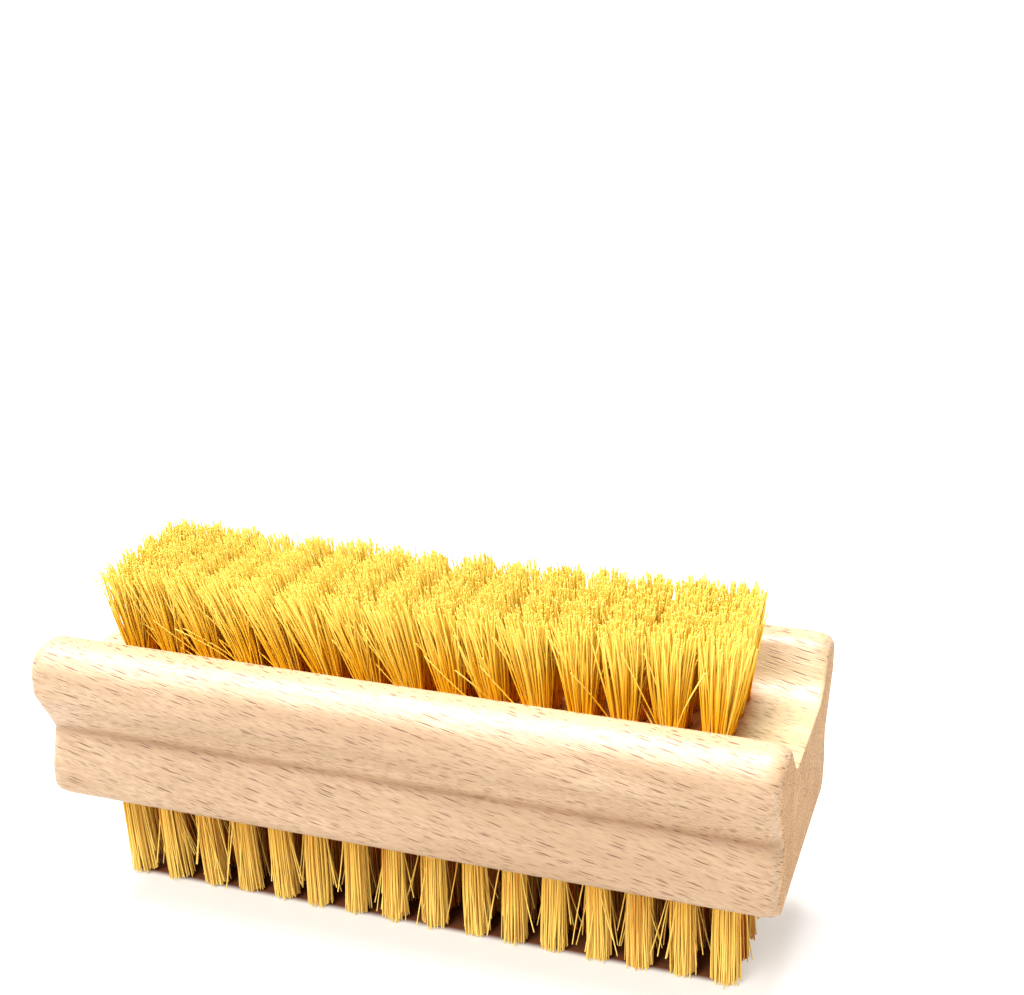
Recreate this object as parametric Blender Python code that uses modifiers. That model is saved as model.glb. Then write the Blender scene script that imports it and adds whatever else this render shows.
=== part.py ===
"""A double-sided wooden nail brush, in metres, +Z up, standing on its under bristles.

The length runs along X and the long sides face -Y and +Y. The block is one piece of milled
moulding: its upper face is dished between two round lips, a finger cove runs under each lip, and
its underside is flat. Both faces are drilled with rows of blind holes. A bundle of stiff fibre is
folded in half over a flat piece of wire and punched into each hole, where the wire bites and
holds it. Each crosswise row of tufts is one object: its roots in their holes, the anchor wires
under them, the strands, and the slice of the drilled face that the row stands in.
"""

import math
import random

import bmesh
import bpy
from mathutils import Matrix, Vector

MM = 0.001

# Tufts and their drilled holes
HOLE_RADIUS = 1.5 * MM
HOLE_SIDES = 8
ROOT_SIDES = 6
COLUMN_PITCH = 5.5 * MM
ROW_PITCH = 4.8 * MM
ROWS_ACROSS = 4
UPPER_LEFT_MARGIN = 8.7 * MM
UPPER_RIGHT_MARGIN = 9.0 * MM
UNDER_LEFT_MARGIN = 5.4 * MM
UNDER_RIGHT_MARGIN = 7.0 * MM
FIT_GAP = 0.3 * MM

# The slice of the drilled face that each row of tufts stands in
SLICE_THICKNESS = 1.4 * MM
SLICE_EDGE = 0.3 * MM

# Anchor wire, a flat strip across the bottom of each hole
ANCHOR_SPAN_SHARE = 0.8
ANCHOR_THICKNESS = 0.4 * MM
ANCHOR_HEIGHT = 1.2 * MM
ANCHOR_BITE = 0.5 * MM

# Block
BLOCK_LENGTH = 95.8 * MM
BLOCK_WIDTH = 41 * MM
BLOCK_THICKNESS = 22.2 * MM
DISH_DEPTH = 5.9 * MM
DISH_EDGE = 1.2 * MM
DISH_FLANK_RUN = 3.5 * MM
NOSE_DEPTH = 6.4 * MM
COVE_INSET = 4.1 * MM
COVE_HEIGHT = 9.0 * MM
BELLY_INSET = 2.8 * MM
BELLY_HEIGHT = 4.6 * MM
FOOT_INSET = 3.2 * MM
CORE_THICKNESS = 1.8 * MM
DISH_RADIUS = 3.0 * MM
LIP_INNER_RADIUS = 1.7 * MM
LIP_OUTER_RADIUS = 3.6 * MM
NOSE_RADIUS = 2.6 * MM
COVE_RADIUS = 1.8 * MM
BELLY_RADIUS = 5.0 * MM
FOOT_RADIUS = 2.4 * MM
END_EASING = 1.2 * MM
EASING_STEPS = 2
EASING_ANGLE = math.radians(60)
SMOOTH_ANGLE = math.radians(35)
ARC_STEP = math.radians(16)
FILLET_LEG_SHARE = 0.49

# Bristles: each strand stands for a lock of fine fibres
UPPER_LENGTH = 15.5 * MM
UNDER_LENGTH = 15.3 * MM
UPPER_STRANDS = 4
UNDER_STRANDS = 3
STRAND_SIDES = 3
STRAND_ROOT_RADIUS = 0.42 * MM
STRAND_TIP_RADIUS = 0.60 * MM
STRAND_ROOT_SPREAD = 0.75 * MM
STRAND_TIP_SPREAD = 1.65 * MM
STRAND_BURIED = 0.9 * MM
TIP_WANDER = 0.15 * MM
FIELD_FAN = 1.2 * MM
TIP_UNEVENNESS = 0.5 * MM
TRIM_DEPTH = 0.5 * MM

CUT_OVERRUN = 1.0 * MM
MERGE_DISTANCE = 0.003 * MM

BEECH = (0.63, 0.42, 0.26)
BRISTLE = (0.80, 0.50, 0.10)
BEECH_ROUGHNESS = 0.6
BRISTLE_ROUGHNESS = 0.5

# Heights of the faces above the surface that the brush stands on
UNDERSIDE = UNDER_LENGTH
DISH_FLOOR = UNDERSIDE + BLOCK_THICKNESS - DISH_DEPTH

# Widths across the block, each half measured from its middle
ROW_REACH = ROW_PITCH * (ROWS_ACROSS - 1) / 2
SLICE_HALF = ROW_REACH + HOLE_RADIUS + SLICE_EDGE
POCKET_HALF = SLICE_HALF + FIT_GAP
DISH_HALF = POCKET_HALF + DISH_EDGE
LIP_INNER = DISH_HALF + DISH_FLANK_RUN
HALF_WIDTH = BLOCK_WIDTH / 2

# Depths below a drilled face
POCKET_DEPTH = SLICE_THICKNESS + FIT_GAP
HOLE_DEPTH = (BLOCK_THICKNESS - DISH_DEPTH - CORE_THICKNESS) / 2
ANCHOR_FOOT = HOLE_DEPTH - FIT_GAP
ROOT_FOOT = ANCHOR_FOOT - ANCHOR_HEIGHT + ANCHOR_BITE
ROOT_RADIUS = HOLE_RADIUS * math.cos(math.pi / HOLE_SIDES) - FIT_GAP
ANCHOR_HALF_LENGTH = ROOT_RADIUS * ANCHOR_SPAN_SHARE


def clear_scene():
    for obj in list(bpy.data.objects):
        bpy.data.objects.remove(obj)


def new_collection(name):
    collection = bpy.data.collections.new(name)
    bpy.context.scene.collection.children.link(collection)
    return collection


def new_material(name, colour, roughness):
    material = bpy.data.materials.new(name)
    material.use_nodes = True
    surface = material.node_tree.nodes["Principled BSDF"]
    surface.inputs["Base Color"].default_value = (*colour, 1)
    surface.inputs["Roughness"].default_value = roughness
    surface.inputs["Metallic"].default_value = 0
    material.diffuse_color = (*colour, 1)
    return material


def object_from(bm, name, collection):
    """A mesh object from a bmesh, which is freed."""
    mesh = bpy.data.meshes.new(name)
    bm.to_mesh(mesh)
    bm.free()
    obj = bpy.data.objects.new(name, mesh)
    collection.objects.link(obj)
    return obj


def make_helper(obj):
    obj.hide_render = True
    obj.display_type = "WIRE"
    return obj


def add_boolean(obj, operation, other):
    modifier = obj.modifiers.new(other.name, "BOOLEAN")
    modifier.operation = operation
    modifier.object = other


def evaluated_mesh(obj, name):
    graph = bpy.context.evaluated_depsgraph_get()
    mesh = bpy.data.meshes.new_from_object(obj.evaluated_get(graph))
    mesh.name = name
    return mesh


def add_box(bm, low, high):
    low, high = Vector(low), Vector(high)
    place = Matrix.Translation((low + high) / 2) @ Matrix.Diagonal((*(high - low), 1))
    bmesh.ops.create_cube(bm, size=1, matrix=place)


def add_rod(bm, start, end, radii, sides, turn):
    """A closed straight rod from start to end, with its own radius at each."""
    start, end = Vector(start), Vector(end)
    along = end - start
    aim = Vector((0, 0, 1)).rotation_difference(along).to_matrix().to_4x4()
    place = Matrix.Translation((start + end) / 2) @ aim @ Matrix.Rotation(turn, 4, "Z")
    bmesh.ops.create_cone(
        bm, cap_ends=True, segments=sides, radius1=radii[0], radius2=radii[1], depth=along.length, matrix=place
    )


def rounded_corner(before, corner, after, radius):
    """The arc that rounds a corner. It is kept within its own share of each neighbouring edge."""
    back, ahead = before - corner, after - corner
    turn = math.pi - back.angle(ahead)
    leg = min(radius * math.tan(turn / 2), FILLET_LEG_SHARE * back.length, FILLET_LEG_SHARE * ahead.length)
    start = corner + back.normalized() * leg
    end = corner + ahead.normalized() * leg
    middle = (start + end) / 2
    centre = corner + (middle - corner).normalized() * leg / math.sin(turn / 2)
    steps = max(2, math.ceil(turn / ARC_STEP))
    points = []
    for step in range(steps + 1):
        share = step / steps
        weight_start = math.sin((1 - share) * turn) / math.sin(turn)
        weight_end = math.sin(share * turn) / math.sin(turn)
        points.append(centre + (start - centre) * weight_start + (end - centre) * weight_end)
    return points


def moulding_outline():
    """The block's cross-section, as (across, up from the underside), with every corner rounded."""
    top = BLOCK_THICKNESS
    half = (
        (DISH_HALF, top - DISH_DEPTH, DISH_RADIUS),
        (LIP_INNER, top, LIP_INNER_RADIUS),
        (HALF_WIDTH, top, LIP_OUTER_RADIUS),
        (HALF_WIDTH, top - NOSE_DEPTH, NOSE_RADIUS),
        (HALF_WIDTH - COVE_INSET, COVE_HEIGHT, COVE_RADIUS),
        (HALF_WIDTH - BELLY_INSET, BELLY_HEIGHT, BELLY_RADIUS),
        (HALF_WIDTH - FOOT_INSET, 0, FOOT_RADIUS),
    )
    corners = list(half) + [(-across, up, radius) for across, up, radius in reversed(half)]
    places = [Vector((across, up)) for across, up, radius in corners]
    outline = []
    for index, (across, up, radius) in enumerate(corners):
        before, after = places[index - 1], places[(index + 1) % len(places)]
        outline += rounded_corner(before, places[index], after, radius)
    return outline


def make_moulding(collection):
    """The plain length of moulding: the outline as a filled flat curve, extruded along X."""
    curve = bpy.data.curves.new("moulding_outline", "CURVE")
    curve.dimensions = "2D"
    curve.fill_mode = "BOTH"
    curve.extrude = BLOCK_LENGTH / 2
    points = moulding_outline()
    spline = curve.splines.new("POLY")
    spline.points.add(len(points) - 1)
    for point, (across, up) in zip(spline.points, points):
        point.co = Vector((across, up, 0)).to_4d()
    spline.use_cyclic_u = True
    guide = bpy.data.objects.new("moulding_outline", curve)
    collection.objects.link(guide)
    # The curve's own X is the brush's Y, its Y is up, and it is extruded along the brush's X
    turn = Matrix(((0, 0, 1), (1, 0, 0), (0, 1, 0))).to_4x4()
    guide.matrix_world = Matrix.Translation((0, 0, UNDERSIDE)) @ turn
    bpy.context.view_layer.update()
    mesh = evaluated_mesh(guide, "block")
    block = bpy.data.objects.new("block", mesh)
    block.matrix_world = guide.matrix_world
    collection.objects.link(block)
    bpy.data.objects.remove(guide)
    bm = bmesh.new()
    bm.from_mesh(mesh)
    bmesh.ops.remove_doubles(bm, verts=bm.verts, dist=MERGE_DISTANCE)
    bmesh.ops.recalc_face_normals(bm, faces=bm.faces)
    bm.to_mesh(mesh)
    bm.free()
    return block


def column_places(left_margin, right_margin):
    """Where the crosswise rows stand along the block: as many as fit between the two margins."""
    room = BLOCK_LENGTH - left_margin - right_margin
    count = int(room / COLUMN_PITCH) + 1
    return [left_margin - BLOCK_LENGTH / 2 + index * COLUMN_PITCH for index in range(count)]


def row_places():
    return [(index - (ROWS_ACROSS - 1) / 2) * ROW_PITCH for index in range(ROWS_ACROSS)]


def add_pocket(bm, columns, floor, ceiling):
    half_slice = (COLUMN_PITCH - FIT_GAP) / 2
    low = (columns[0] - half_slice - FIT_GAP, -POCKET_HALF, floor)
    high = (columns[-1] + half_slice + FIT_GAP, POCKET_HALF, ceiling)
    add_box(bm, low, high)


def add_holes(bm, columns, mouth, bottom):
    for across in row_places():
        for along in columns:
            add_rod(bm, (along, across, bottom), (along, across, mouth), (HOLE_RADIUS, HOLE_RADIUS), HOLE_SIDES, 0)


def make_block(parts, cutters, upper_columns, under_columns, material):
    block = make_moulding(parts)
    easing = block.modifiers.new("end_easing", "BEVEL")
    easing.width = END_EASING
    easing.segments = EASING_STEPS
    easing.limit_method = "ANGLE"
    easing.angle_limit = EASING_ANGLE
    easing.use_clamp_overlap = False
    pockets = bmesh.new()
    add_pocket(pockets, upper_columns, DISH_FLOOR - POCKET_DEPTH, DISH_FLOOR + CUT_OVERRUN)
    add_pocket(pockets, under_columns, UNDERSIDE - CUT_OVERRUN, UNDERSIDE + POCKET_DEPTH)
    add_boolean(block, "DIFFERENCE", make_helper(object_from(pockets, "slice_pockets", cutters)))
    holes = bmesh.new()
    add_holes(holes, upper_columns, DISH_FLOOR, DISH_FLOOR - HOLE_DEPTH)
    add_holes(holes, under_columns, UNDERSIDE + HOLE_DEPTH, UNDERSIDE)
    add_boolean(block, "DIFFERENCE", make_helper(object_from(holes, "tuft_holes", cutters)))
    block.data.materials.append(material)
    block.data.shade_smooth()
    block.data.set_sharp_from_angle(angle=SMOOTH_ANGLE)
    return block


def make_row_core(helpers):
    """The mesh that every row shares: its slice of the face, four roots and four anchor wires.

    It is made with the face at zero height and the bristles' side up.
    """
    half_slice = (COLUMN_PITCH - FIT_GAP) / 2
    slice_bm = bmesh.new()
    add_box(slice_bm, (-half_slice, -SLICE_HALF, -SLICE_THICKNESS), (half_slice, SLICE_HALF, 0))
    core = make_helper(object_from(slice_bm, "row_core", helpers))
    roots, anchors = bmesh.new(), bmesh.new()
    for across in row_places():
        foot, head = (0, across, -ROOT_FOOT), (0, across, -SLICE_THICKNESS / 2)
        add_rod(roots, foot, head, (ROOT_RADIUS, ROOT_RADIUS), ROOT_SIDES, 0)
        low = (-ANCHOR_HALF_LENGTH, across - ANCHOR_THICKNESS / 2, -ANCHOR_FOOT)
        high = (ANCHOR_HALF_LENGTH, across + ANCHOR_THICKNESS / 2, ANCHOR_HEIGHT - ANCHOR_FOOT)
        add_box(anchors, low, high)
    for bm, name in ((roots, "roots"), (anchors, "anchor_wires")):
        add_boolean(core, "UNION", make_helper(object_from(bm, name, helpers)))
    bpy.context.view_layer.update()
    return evaluated_mesh(core, "row_core")


def make_strands(name, helpers, look, end_share, draw):
    """The strands of one row, with the face at zero height.

    They fan out from each hole, and each tuft leans away from the middle of the brush.
    end_share is -1 in the first row, 1 in the last and 0 halfway.
    """
    count, length, unevenness, trim = look
    bm = bmesh.new()
    for across in row_places():
        lean = Vector((end_share, across / ROW_REACH, 0)) * FIELD_FAN
        for strand in range(count):
            angle = 2 * math.pi * (strand + 0.5) / count
            out = Vector((math.cos(angle), math.sin(angle), 0))
            hole = Vector((0, across, 0))
            wander = Vector((draw.uniform(-1, 1), draw.uniform(-1, 1), 0)) * TIP_WANDER
            height = length + trim - unevenness * draw.random()
            surface = hole + out * STRAND_ROOT_SPREAD
            tip = hole + out * STRAND_TIP_SPREAD + lean + wander + Vector((0, 0, height))
            buried = surface - (tip - surface).normalized() * STRAND_BURIED
            add_rod(bm, buried, tip, (STRAND_ROOT_RADIUS, STRAND_TIP_RADIUS), STRAND_SIDES, angle)
    if trim:
        everything = list(bm.verts) + list(bm.edges) + list(bm.faces)
        bmesh.ops.bisect_plane(bm, geom=everything, plane_co=(0, 0, length), plane_no=(0, 0, 1), clear_outer=True)
        bmesh.ops.holes_fill(bm, edges=[edge for edge in bm.edges if edge.is_boundary], sides=0)
    return make_helper(object_from(bm, name, helpers))


def make_rows(name, columns, core, parts, helpers, look, place):
    """One object for each crosswise row of tufts, numbered from the left end of the block.

    Each row's strands are drawn from a seed of their own, which is the row's name.
    """
    height, turn, brush = place
    middle, reach = (columns[0] + columns[-1]) / 2, (columns[-1] - columns[0]) / 2
    for number, along in enumerate(columns, start=1):
        row = bpy.data.objects.new(f"{name}_{number:02d}", core.copy())
        parts.objects.link(row)
        draw = random.Random(row.name)
        strands = make_strands(f"{row.name}_strands", helpers, look, (along - middle) / reach, draw)
        for obj in (row, strands):
            obj.location = (along, 0, height)
            obj.rotation_euler = (turn, 0, 0)
            obj.parent = brush
        add_boolean(row, "UNION", strands)


def main():
    clear_scene()
    parts, helpers = new_collection("nail_brush"), new_collection("cutters")
    wood = new_material("beech", BEECH, BEECH_ROUGHNESS)
    fibre = new_material("bristle", BRISTLE, BRISTLE_ROUGHNESS)
    brush = bpy.data.objects.new("nail_brush", None)
    parts.objects.link(brush)
    upper = column_places(UPPER_LEFT_MARGIN, UPPER_RIGHT_MARGIN)
    under = column_places(UNDER_LEFT_MARGIN, UNDER_RIGHT_MARGIN)
    block = make_block(parts, helpers, upper, under, wood)
    block.parent = brush
    core = make_row_core(helpers)
    core.materials.append(fibre)
    upper_look = (UPPER_STRANDS, UPPER_LENGTH, TIP_UNEVENNESS, 0)
    under_look = (UNDER_STRANDS, UNDER_LENGTH, 0, TRIM_DEPTH)
    make_rows("upper_tufts", upper, core, parts, helpers, upper_look, (DISH_FLOOR, 0, brush))
    make_rows("under_tufts", under, core, parts, helpers, under_look, (UNDERSIDE, math.pi, brush))


main()
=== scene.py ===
# %% [markdown]
# # A double-sided wooden nail brush
#
# The brush is one block of milled beech with stiff fibre tufts punched into both faces. The
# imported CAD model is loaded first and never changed: it says where everything is. Each of its
# plain pieces is then replaced by one with the detail of the real thing, in the same place.

import math

import bpy
from mathutils import Matrix, Vector


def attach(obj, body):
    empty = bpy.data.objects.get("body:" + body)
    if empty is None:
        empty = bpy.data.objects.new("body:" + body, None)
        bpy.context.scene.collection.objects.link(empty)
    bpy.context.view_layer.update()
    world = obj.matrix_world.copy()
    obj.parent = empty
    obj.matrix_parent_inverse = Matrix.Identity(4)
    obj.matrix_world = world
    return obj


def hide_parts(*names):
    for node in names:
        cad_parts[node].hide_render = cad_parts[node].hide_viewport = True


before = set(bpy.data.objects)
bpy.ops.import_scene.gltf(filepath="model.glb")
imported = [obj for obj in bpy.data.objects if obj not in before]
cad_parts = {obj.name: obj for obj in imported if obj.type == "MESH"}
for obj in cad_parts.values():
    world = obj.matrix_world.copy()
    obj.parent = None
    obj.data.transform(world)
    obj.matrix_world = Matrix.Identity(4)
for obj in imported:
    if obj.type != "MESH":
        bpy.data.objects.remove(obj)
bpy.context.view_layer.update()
MM = 0.001
print("nodes in the frame:", len(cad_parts))

# %% [markdown]
# ## The camera
#
# The camera stands where the photo was taken from. Its place is given as two angles, a distance
# and a small sideways move, so that it can be read like a tripod: turn, tilt, step back.

# %% Camera
PHOTO_WIDTH = 1024
SENSOR_WIDTH = 36.0
NEAREST_SEEN = 10 * MM


def aim_camera(focal_pixels, azimuth, elevation, roll, distance, across, above, ground):
    """A camera that looks along its own -Z, moved across and above in its own plane.

    The angles are in degrees. ground is the height of the point that it turns about.
    """
    turn, tilt, lean = (math.radians(angle) for angle in (azimuth, elevation, roll))
    back = Vector((math.sin(turn) * math.cos(tilt), -math.cos(turn) * math.cos(tilt), math.sin(tilt)))
    level = Vector((math.cos(turn), math.sin(turn), 0))
    upright = back.cross(level)
    right = level * math.cos(lean) + upright * math.sin(lean)
    up = upright * math.cos(lean) - level * math.sin(lean)
    data = bpy.data.cameras.new("camera")
    data.sensor_fit = "HORIZONTAL"
    data.sensor_width = SENSOR_WIDTH
    data.lens = focal_pixels / PHOTO_WIDTH * SENSOR_WIDTH
    data.clip_start = NEAREST_SEEN
    camera = bpy.data.objects.new("camera", data)
    place = Matrix((right, up, back)).transposed().to_4x4()
    place.translation = back * distance + right * across + up * above + Vector((0, 0, ground))
    camera.matrix_world = place
    bpy.context.scene.collection.objects.link(camera)
    bpy.context.scene.camera = camera
    return camera


camera = aim_camera(
    focal_pixels=1692.3,
    azimuth=18.28,
    elevation=19.49,
    roll=0.11,
    distance=224.19 * MM,
    across=9.46 * MM,
    above=38.88 * MM,
    ground=15.3 * MM,
)
print("lens:", round(camera.data.lens, 1), "mm")

# %% [markdown]
# ## Small helpers for node trees
#
# Materials and Geometry Nodes are both trees of nodes. These helpers add a node, fill its
# sockets with numbers or with other nodes' outputs, and so keep each tree short to read.

# %% Node helpers


def fill(tree, sockets, inputs):
    """Gives each named socket its value, or a link where the value is another node's output."""
    for key, value in inputs.items():
        if isinstance(value, bpy.types.NodeSocket):
            tree.links.new(value, sockets[key])
        else:
            sockets[key].default_value = value


def in_use(sockets):
    """A node's sockets by name, without those that its present settings hide."""
    return {socket.name: socket for socket in sockets if socket.enabled}


def add_node(tree, kind, inputs=None, **settings):
    """A new node. Each input is a number, a vector, a name or another node's output socket."""
    node = tree.nodes.new(kind)
    for name, value in settings.items():
        setattr(node, name, value)
    fill(tree, node.inputs, inputs or {})
    return node


# %% Arithmetic with nodes
def calc(tree, operation, *values):
    """One step of arithmetic on numbers or sockets."""
    return add_node(tree, "ShaderNodeMath", dict(enumerate(values)), operation=operation).outputs[0]


def in_turn(tree, operation, first, *others):
    """The same step again and again: the first value with the next, and that with the next."""
    result = first
    for value in others:
        result = calc(tree, operation, result, value)
    return result


def plus(tree, *values):
    return in_turn(tree, "ADD", *values)


def minus(tree, value, taken_away):
    return calc(tree, "SUBTRACT", value, taken_away)


def times(tree, *values):
    return in_turn(tree, "MULTIPLY", *values)


def over(tree, value, divisor):
    return calc(tree, "DIVIDE", value, divisor)


def size_of(tree, value):
    """The value without its sign, such as a distance from the middle on either side."""
    return calc(tree, "ABSOLUTE", value)


def ranged(tree, value, low, high, new_low, new_high, smooth=False):
    """value between low and high, moved to between new_low and new_high, and held there."""
    kind = "SMOOTHSTEP" if smooth else "LINEAR"
    inputs = {"Value": value, "From Min": low, "From Max": high, "To Min": new_low, "To Max": new_high}
    return add_node(tree, "ShaderNodeMapRange", inputs, interpolation_type=kind).outputs[0]


# %% Arithmetic with vectors
def vector_calc(tree, operation, *values):
    """One step of arithmetic on vectors, such as ADD, or DOT_PRODUCT, which gives a number."""
    node = add_node(tree, "ShaderNodeVectorMath", dict(enumerate(values)), operation=operation)
    return node.outputs["Value" if operation in ("DOT_PRODUCT", "LENGTH") else "Vector"]


def vector_sum(tree, first, *others):
    result = first
    for vector in others:
        result = vector_calc(tree, "ADD", result, vector)
    return result


def scaled(tree, vector, factor):
    node = add_node(tree, "ShaderNodeVectorMath", {0: vector, "Scale": factor}, operation="SCALE")
    return node.outputs["Vector"]


def joined(tree, x, y, z):
    return add_node(tree, "ShaderNodeCombineXYZ", {0: x, 1: y, 2: z}).outputs[0]


def parts_of(tree, vector):
    """A vector's three numbers, which for a place are along the block, across it and up."""
    return tuple(add_node(tree, "ShaderNodeSeparateXYZ", {0: vector}).outputs)


def place_in_mm(tree):
    """Where the point is in the model, in millimetres."""
    return scaled(tree, add_node(tree, "ShaderNodeTexCoord").outputs["Object"], 1 / MM)


# %% [markdown]
# ## Beech, as a solid
#
# Wood isn't painted on: its figure runs through the block. So the material is built in the
# tree's own directions. "along" runs with the grain, about eleven degrees off the block's
# length, as the photo's slanting flecks show. "out" runs from the tree's pith to its bark, and
# "round" follows the growth rings. Beech is known by its rays: thin upright plates that show on
# every sawn face as short dark dashes. They come from a Voronoi pattern, which scatters one
# point in each cell, with a thin lens drawn round each point.

# %% Beech: directions of the grain
GRAIN_ALONG = Vector((1.0, -0.12, -0.165)).normalized()
GRAIN_ROUND = Vector((0.20, 0.42, 0.906)).normalized()
GRAIN_OUT = GRAIN_ALONG.cross(GRAIN_ROUND)
MIDDLE_OF_NOISE = (0.5, 0.5, 0.5)
SLOW_WAVER = {"pace": (0.02, 0.12, 0.12), "reach": (0.0, 1.6, 1.6), "detail": 1.0}
RAGGED_EDGES = {"pace": (0.7, 1.2, 1.2), "reach": (0.0, 0.16, 0.16), "detail": 2.0}


def wavering(tree, place, pace, reach, detail):
    """A small move that changes from place to place: pace is how quickly, reach is how far."""
    inputs = {"Vector": vector_calc(tree, "MULTIPLY", place, pace), "Scale": 1.0, "Detail": detail}
    clouds = add_node(tree, "ShaderNodeTexNoise", inputs).outputs["Color"]
    either_way = vector_calc(tree, "SUBTRACT", clouds, MIDDLE_OF_NOISE)
    return vector_calc(tree, "MULTIPLY", either_way, reach)


def grain_space(tree):
    """The point's place in millimetres, as (along, out, round) the tree, never quite straight."""
    place = place_in_mm(tree)
    ways = (GRAIN_ALONG, GRAIN_OUT, GRAIN_ROUND)
    parts = [vector_calc(tree, "DOT_PRODUCT", place, tuple(way)) for way in ways]
    straight = joined(tree, *parts)
    waver = wavering(tree, straight, **SLOW_WAVER)
    ragged = wavering(tree, straight, **RAGGED_EDGES)
    return vector_sum(tree, straight, vector_sum(tree, waver, ragged))


# %% Beech: the rays
CELL_SCATTER = 0.9
# The smallest and the largest fleck, against the lens, and the part of each that is all dark
FLECK_SIZES = (0.55, 1.25)
FLECK_CORE = 0.4
# The palest fleck's share, and the chance, from 0 to 1, from which on flecks are fully dark
PALEST_FLECK, FULLY_DARK_FROM = 0.4, 0.6
FLECKS = (
    # room of one ray, half size of its lens, shift of the pattern, share of the ray's colour
    ((3.1, 0.8, 0.7), (1.6, 0.32, 0.095), (0.0, 0.0, 0.0), 0.92),
    ((1.7, 0.6, 0.4), (1.0, 0.25, 0.06), (11.0, 5.0, 3.0), 0.72),
    ((1.1, 0.5, 0.28), (0.6, 0.22, 0.045), (3.0, 17.0, 9.0), 0.4),
)


def ray_flecks(tree, space, cell, lens, shift):
    """How much a ray darkens the point, 0 to 1. cell is the room of one ray, lens its half size."""
    room = vector_calc(tree, "DIVIDE", vector_calc(tree, "ADD", space, shift), cell)
    inputs = {"Vector": room, "Scale": 1.0, "Randomness": CELL_SCATTER}
    cells = add_node(tree, "ShaderNodeTexVoronoi", inputs)
    off = vector_calc(tree, "SUBTRACT", room, cells.outputs["Position"])
    reach = tuple(c / l for c, l in zip(cell, lens))
    length = vector_calc(tree, "LENGTH", vector_calc(tree, "MULTIPLY", off, reach))
    chance = add_node(tree, "ShaderNodeSeparateColor", {0: cells.outputs["Color"]}).outputs[0]
    edge = over(tree, length, ranged(tree, chance, 0.0, 1.0, *FLECK_SIZES))
    body = ranged(tree, edge, FLECK_CORE, 1.0, 1.0, 0.0, smooth=True)
    depth = ranged(tree, chance, 0.0, FULLY_DARK_FROM, PALEST_FLECK, 1.0)
    return times(tree, body, depth)


def all_rays(tree, space):
    """The darkest of the large, small and tiny flecks at the point."""
    shares = []
    for cell, lens, shift, share in FLECKS:
        shares.append(times(tree, ray_flecks(tree, space, cell, lens, shift), share))
    return in_turn(tree, "MAXIMUM", *shares)


# %% [markdown]
# ## Where the wood changes
#
# The wood's colour isn't the same all over, and three masks paint light and shade on it. Among
# the tufts the wood is painted orange: painted bounce light from the fibres. Along the bottom of
# each finger cove a darker line is painted: painted shade under the lip's nose. The walls and
# floor of the dish are painted paler and yellower: painted light on the top of the block. These
# places could be painted on a picture, but on so plain a block the distance from its middle and
# the height above the table say where they are. Each mask below is a few soft steps on those, in
# millimetres.

# %% Beech: three masks
# A pair of numbers is where a mask's soft edge begins and where it ends
BOUNCE_ALONG, BOUNCE_ACROSS, BOUNCE_ABOVE = (37.5, 41.5), (8.5, 12.5), 25.0
COVE_LINE, COVE_FADE_UP, COVE_FADE_DOWN, COVE_OUTSIDE = 25.4, 1.5, 2.2, 12.0
DISH_ACROSS, DISH_UP = (11.5, 14.5), (29.0, 31.0)


def near_middle(tree, place, full, gone):
    """1 up to full on either side of the middle, 0 from gone on."""
    return ranged(tree, size_of(tree, place), full, gone, 1.0, 0.0, smooth=True)


def painted_fibre_bounce(tree):
    """1 in the dish among the tufts, where the wood is painted orange as bounce light from the fibres, 0
    elsewhere.
    """
    along, across, up = parts_of(tree, place_in_mm(tree))
    along = near_middle(tree, along, *BOUNCE_ALONG)
    across = near_middle(tree, across, *BOUNCE_ACROSS)
    return times(tree, along, across, calc(tree, "GREATER_THAN", up, BOUNCE_ABOVE))


def painted_cove_shade(tree):
    """1 along the bottom of each finger cove, where shade under the lip's nose is painted, fading up and
    down.
    """
    across, up = parts_of(tree, place_in_mm(tree))[1:]
    above = ranged(tree, up, COVE_LINE, COVE_LINE + COVE_FADE_UP, 1.0, 0.0, smooth=True)
    below = ranged(tree, up, COVE_LINE - COVE_FADE_DOWN, COVE_LINE, 0.0, 1.0, smooth=True)
    outside = calc(tree, "GREATER_THAN", size_of(tree, across), COVE_OUTSIDE)
    return times(tree, above, below, outside)


def painted_dish_light(tree):
    """1 on the walls and the floor of the dish, where the wood is painted paler and yellower, as painted
    light on the top of the block.
    """
    across, up = parts_of(tree, place_in_mm(tree))[1:]
    high = ranged(tree, up, *DISH_UP, 0.0, 1.0, smooth=True)
    return times(tree, near_middle(tree, across, *DISH_ACROSS), high)


# %% Beech: patterns and colours
BEECH_PALE = (0.495, 0.35, 0.225, 1)
BEECH_TONE = (0.35, 0.222, 0.124, 1)
BEECH_RAY = (0.15, 0.062, 0.022, 1)


def new_material(name):
    material = bpy.data.materials.new(name)
    material.use_nodes = True
    return material, material.node_tree, material.node_tree.nodes["Principled BSDF"]


def mix_colour(tree, share, first, second, blend="MIX"):
    node = tree.nodes.new("ShaderNodeMix")
    node.data_type = "RGBA"
    node.blend_type = blend
    fill(tree, in_use(node.inputs), {"Factor": share, "A": first, "B": second})
    return in_use(node.outputs)["Result"]


def washed(tree, share, colour, wash):
    """The colour as seen through a thin wash of another one: the two are multiplied."""
    return mix_colour(tree, share, colour, wash, blend="MULTIPLY")


def pattern(tree, space, lumps, low, high, detail):
    """Noise from 0 to 1, whose lumps measure so many millimetres along, out and round."""
    inputs = {"Vector": vector_calc(tree, "DIVIDE", space, lumps), "Scale": 1.0, "Detail": detail}
    return ranged(tree, add_node(tree, "ShaderNodeTexNoise", inputs).outputs["Fac"], low, high, 0.0, 1.0)


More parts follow.
